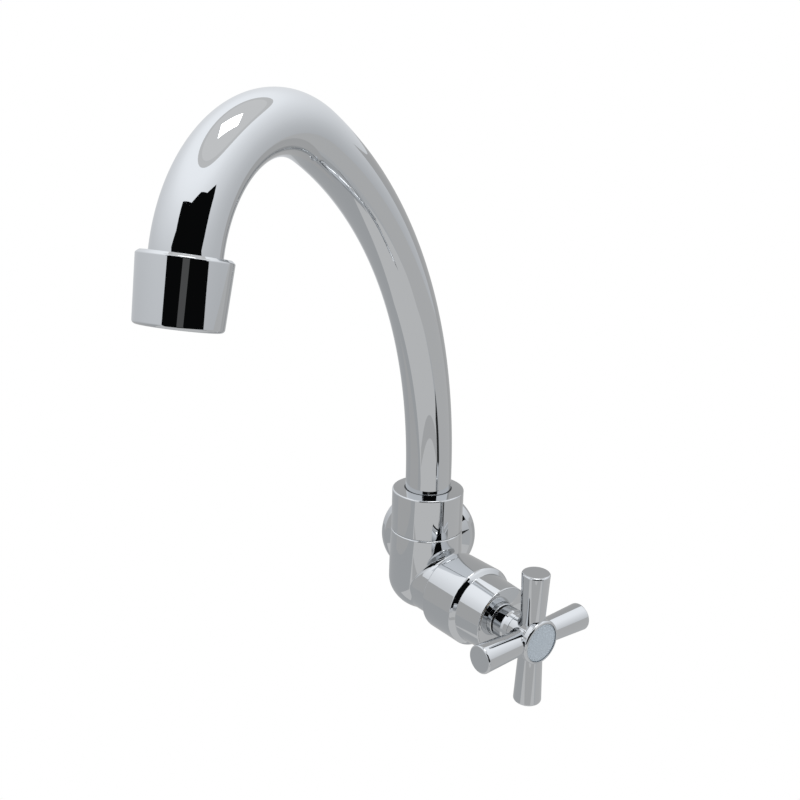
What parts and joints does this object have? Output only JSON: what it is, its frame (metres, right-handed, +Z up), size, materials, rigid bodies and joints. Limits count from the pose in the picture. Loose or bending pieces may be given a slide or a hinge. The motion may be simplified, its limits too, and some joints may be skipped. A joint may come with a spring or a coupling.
{
  "type": "wall-mounted kitchen tap",
  "caption": "Chrome wall-mounted kitchen tap: a swan-neck spout that swivels on an upright barrel, and a quarter-turn valve with a cross handle at the front right.",
  "frame": {"origin": "centre of the threaded inlet, in the plane of the wall face", "axes": "+Z up; +Y into the wall along the inlet, so the tap stands out towards -Y; +X to the right of someone facing the wall"},
  "size_m": [0.1641, 0.2367, 0.2614],
  "materials": {
    "chrome": "polished",
    "brass": "machined",
    "rubber": "matte",
    "ceramic": "lapped",
    "guide_plastic": "moulded",
    "aerator_plastic": "moulded",
    "steel": "plain",
    "button": "gloss"
  },
  "bodies": {
    "body": {"tap_body": "chrome", "wall_flange": "chrome", "spout_collar": "chrome", "spout_slip_ring": "guide_plastic", "bonnet_shroud": "chrome", "neck_nut": "chrome", "cartridge_body": "brass", "bonnet_gasket": "rubber", "seat_seal": "rubber", "fixed_disc": "ceramic"},
    "spout": {"spout_tube": "chrome", "spout_foot": "brass", "spout_o_rings": "rubber", "aerator_shell": "chrome", "aerator_washer": "rubber", "aerator_insert": "aerator_plastic", "aerator_screen": "steel"},
    "handle": {"cross_handle": "chrome", "handle_screw": "steel", "handle_cap": "button", "valve_spindle": "brass", "spindle_o_rings": "rubber", "spindle_clip": "steel", "moving_disc": "ceramic"}
  },
  "joints": [
    {"name": "spout_swivel", "type": "hinge", "parent": "body", "child": "spout", "pos_m": [0, -0.051, 0.0467], "axis": [0, 0, 1], "range_deg": [-65.5, 114.5]},
    {"name": "handle_turn", "type": "hinge", "parent": "body", "child": "handle", "pos_m": [0.04978, -0.10629, 0], "axis": [0.6691, -0.7431, 0], "range_deg": [0, 90]}
  ]
}
